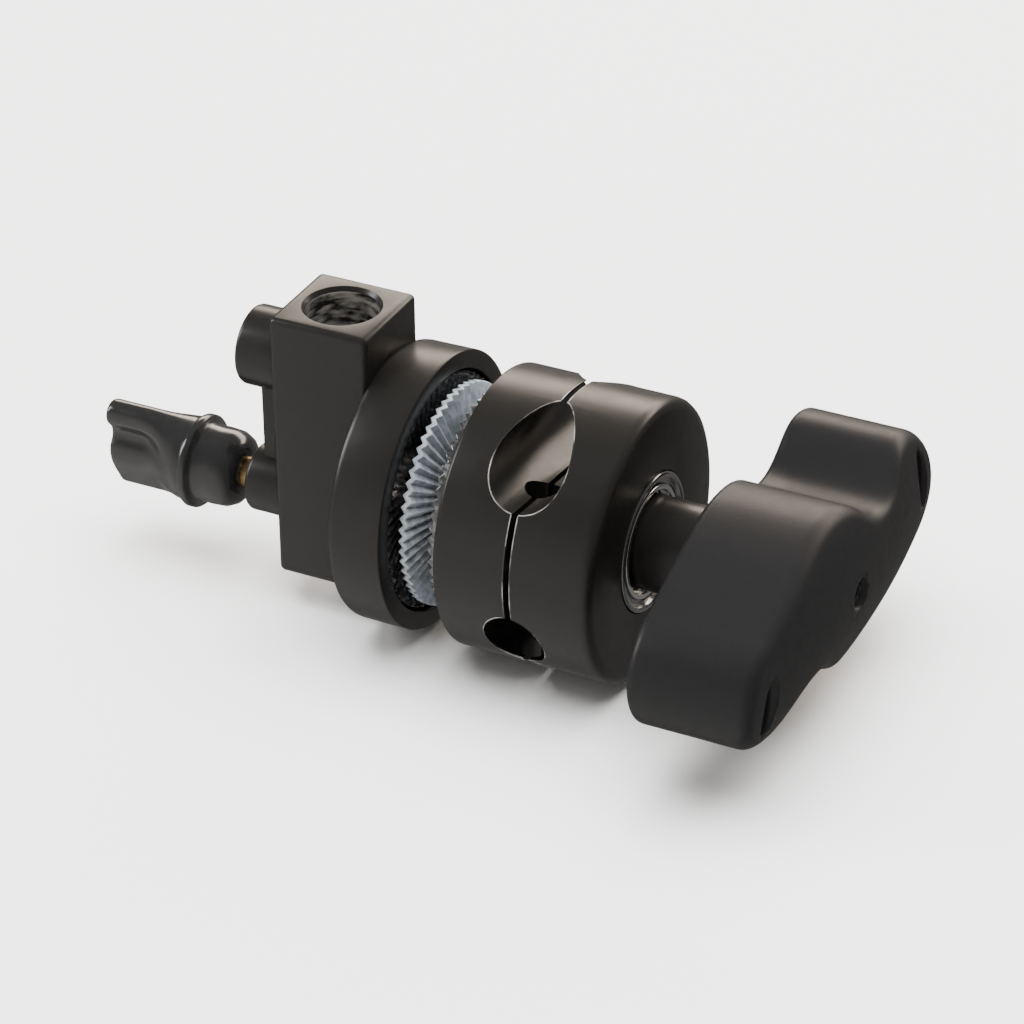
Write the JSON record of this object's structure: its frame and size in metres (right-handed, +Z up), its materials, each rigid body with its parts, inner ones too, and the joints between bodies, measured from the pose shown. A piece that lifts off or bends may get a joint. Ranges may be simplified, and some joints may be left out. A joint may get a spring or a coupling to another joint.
{
  "type": "grip head",
  "caption": "grip head: upright spigot receiver with a wing lock, toothed disc joint, two grooved jaws for rods and a T-handle that clamps them",
  "frame": {"origin": "on the axis of the receiver's upright socket, at the receiver block's bottom face", "axes": "+Z up along the socket, +X along the clamping stud towards the T-handle, +Y across the block"},
  "size_m": [0.1829, 0.1, 0.0722],
  "materials": {
    "black_paint": "satin black enamel, worn bright on its edges",
    "handle_paint": "finely textured black",
    "toothed_steel": "bare plated steel",
    "bright_steel": "turned steel",
    "spring_steel": "oiled spring wire",
    "brass": "dull brass",
    "knob_plastic": "glossy black",
    "cage_plastic": "dark moulded plastic"
  },
  "bodies": {
    "receiver": {"receiver_body": "black_paint", "main_stud": "bright_steel", "lock_bush": "bright_steel"},
    "disc_carrier": {"disc_washer": "bright_steel", "disc_spring": "spring_steel"},
    "disc": {"friction_disc": "toothed_steel"},
    "jaw_carrier": {"jaw_washer": "bright_steel", "swivel_spring": "spring_steel"},
    "inner_jaw": {"inner_jaw": "black_paint", "guide_pin_1": "bright_steel", "guide_pin_2": "bright_steel"},
    "outer_jaw": {"outer_jaw": "black_paint", "jaw_spring": "spring_steel", "bearing_rear_race": "bright_steel", "bearing_cover": "bright_steel"},
    "handle_carrier": {"bearing_front_race": "bright_steel"},
    "handle": {"handle_hub": "black_paint", "tee_handle": "handle_paint", "handle_end_screw": "bright_steel"},
    "bearing": {"bearing_cage": "cage_plastic", "bearing_roller_01": "bright_steel", "bearing_roller_02": "bright_steel", "bearing_roller_03": "bright_steel", "bearing_roller_04": "bright_steel", "bearing_roller_05": "bright_steel", "bearing_roller_06": "bright_steel", "bearing_roller_07": "bright_steel", "bearing_roller_08": "bright_steel", "bearing_roller_09": "bright_steel", "bearing_roller_10": "bright_steel"},
    "lock_pad": {"lock_pad": "brass"},
    "lock_knob": {"lock_knob": "knob_plastic", "lock_stud": "brass"}
  },
  "joints": [
    {"name": "disc_slide", "type": "slide", "parent": "receiver", "child": "disc_carrier", "axis": [1, 0, 0], "range_m": [-0.0015, 0], "deforming": ["disc_spring"]},
    {"name": "disc_spin", "type": "hinge", "parent": "disc_carrier", "child": "disc", "pos_m": [0.0245, 0, 0.024], "axis": [1, 0, 0], "continuous": true},
    {"name": "swivel_slide", "type": "slide", "parent": "disc_carrier", "child": "jaw_carrier", "axis": [1, 0, 0], "range_m": [-0.0044, 0], "deforming": ["swivel_spring"]},
    {"name": "head_swivel", "type": "hinge", "parent": "jaw_carrier", "child": "inner_jaw", "pos_m": [0.0245, 0, 0.024], "axis": [1, 0, 0], "continuous": true},
    {"name": "jaw_close", "type": "slide", "parent": "inner_jaw", "child": "outer_jaw", "axis": [1, 0, 0], "range_m": [-0.0011, 0], "deforming": ["jaw_spring"]},
    {"name": "handle_feed", "type": "slide", "parent": "receiver", "child": "handle_carrier", "axis": [1, 0, 0], "range_m": [-0.007, 0]},
    {"name": "handle_turn", "type": "hinge", "parent": "handle_carrier", "child": "handle", "pos_m": [0.0245, 0, 0.024], "axis": [1, 0, 0], "range_deg": [-1440, 0]},
    {"name": "cage_turn", "type": "hinge", "parent": "handle_carrier", "child": "bearing", "pos_m": [0.0245, 0, 0.024], "axis": [1, 0, 0], "range_deg": [-720, 0]},
    {"name": "pad_slide", "type": "slide", "parent": "receiver", "child": "lock_pad", "axis": [1, 0, 0], "range_m": [0, 0.0025]},
    {"name": "knob_turn", "type": "hinge", "parent": "lock_pad", "child": "lock_knob", "pos_m": [-0.0305, 0, 0.0157], "axis": [1, 0, 0], "range_deg": [0, 720]}
  ],
  "couplings": [
    {"joint": "handle_turn", "follows": "handle_feed", "rad_per_m": 3590.4},
    {"joint": "cage_turn", "follows": "handle_feed", "rad_per_m": 1795.2},
    {"joint": "disc_slide", "follows": "handle_feed", "ratio": 0.21429},
    {"joint": "swivel_slide", "follows": "handle_feed", "ratio": 0.62857},
    {"joint": "jaw_close", "follows": "handle_feed", "ratio": 0.15714},
    {"joint": "knob_turn", "follows": "pad_slide", "rad_per_m": 5026.5}
  ]
}
